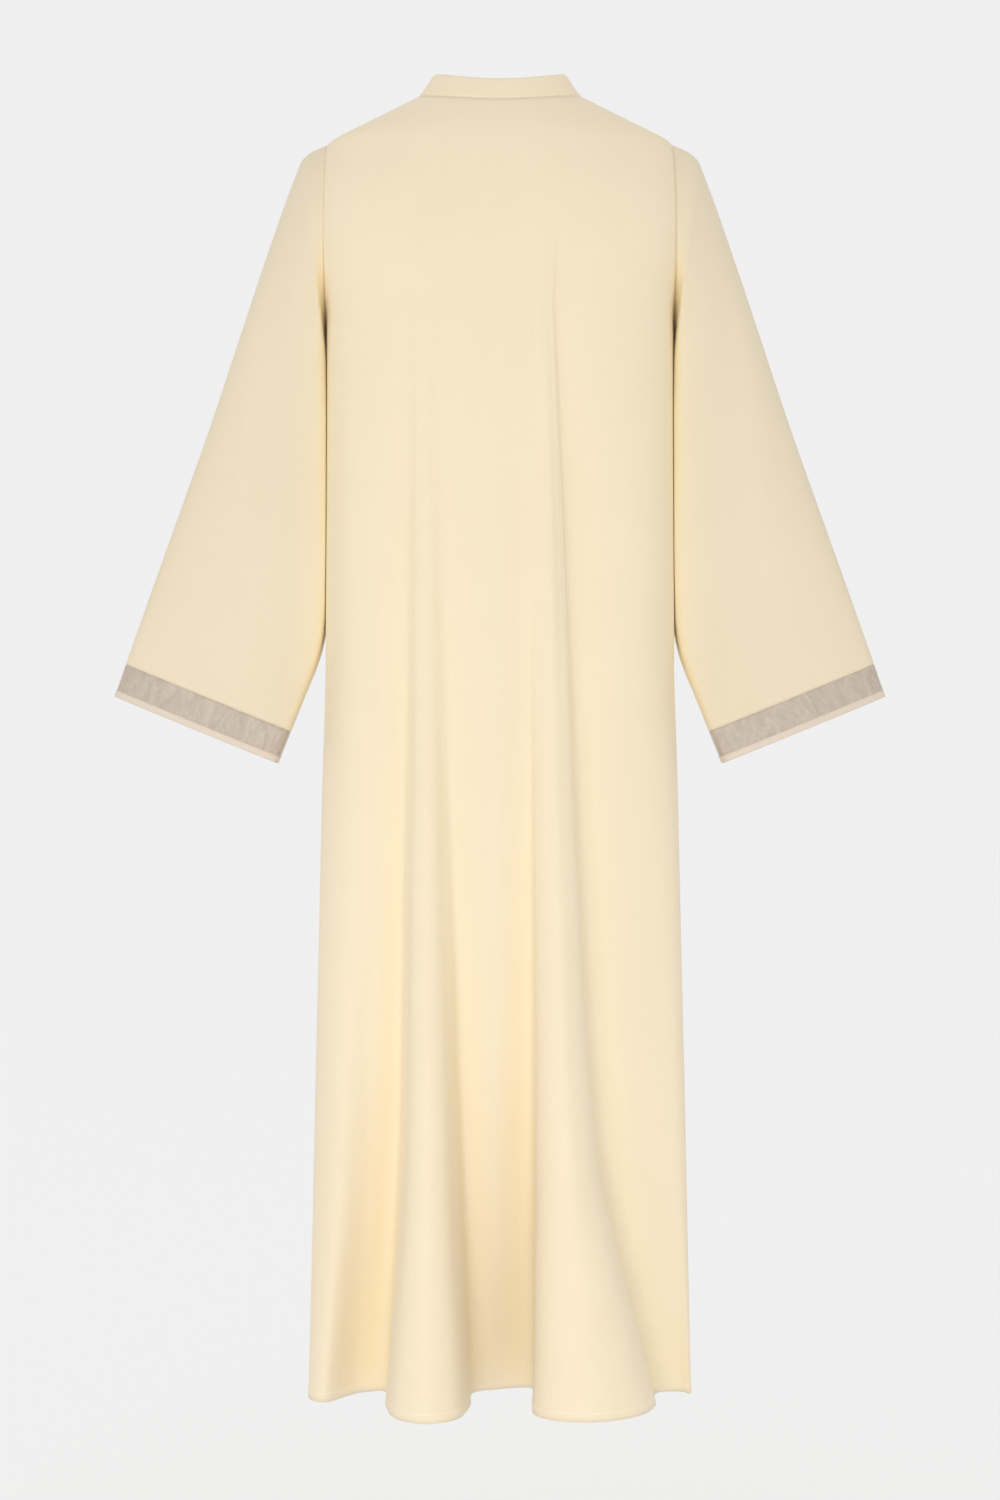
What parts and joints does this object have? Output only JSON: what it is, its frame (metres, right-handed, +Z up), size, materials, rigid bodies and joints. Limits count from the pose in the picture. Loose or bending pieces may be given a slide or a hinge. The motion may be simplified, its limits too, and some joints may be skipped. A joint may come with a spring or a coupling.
{
  "type": "abaya",
  "caption": "Long loose robe, filled out with no wearer: plain folded back, band collar, wide set-in sleeves with sheer bands, open front edge to edge.",
  "frame": {"origin": "middle of the neck base between the highest points of the two shoulder seams, where the wearer's shoulders carry the garment", "axes": "+Z up; the wearer faces -Y, so the back panel is on the +Y side; +X is the wearer's left"},
  "size_m": [0.834, 0.26, 1.4193],
  "materials": {
    "crepe": "soft matt crepe with a faint sheen, cream",
    "organza": "crushed sheer organza, lined with the cloth of the sleeve, warm grey"
  },
  "bodies": {
    "root": {"back": "crepe", "front_left": "crepe", "front_right": "crepe", "sleeve_left": "crepe", "sleeve_right": "crepe", "collar": "crepe", "cuff_left": "organza", "cuff_right": "organza"}
  },
  "joints": []
}
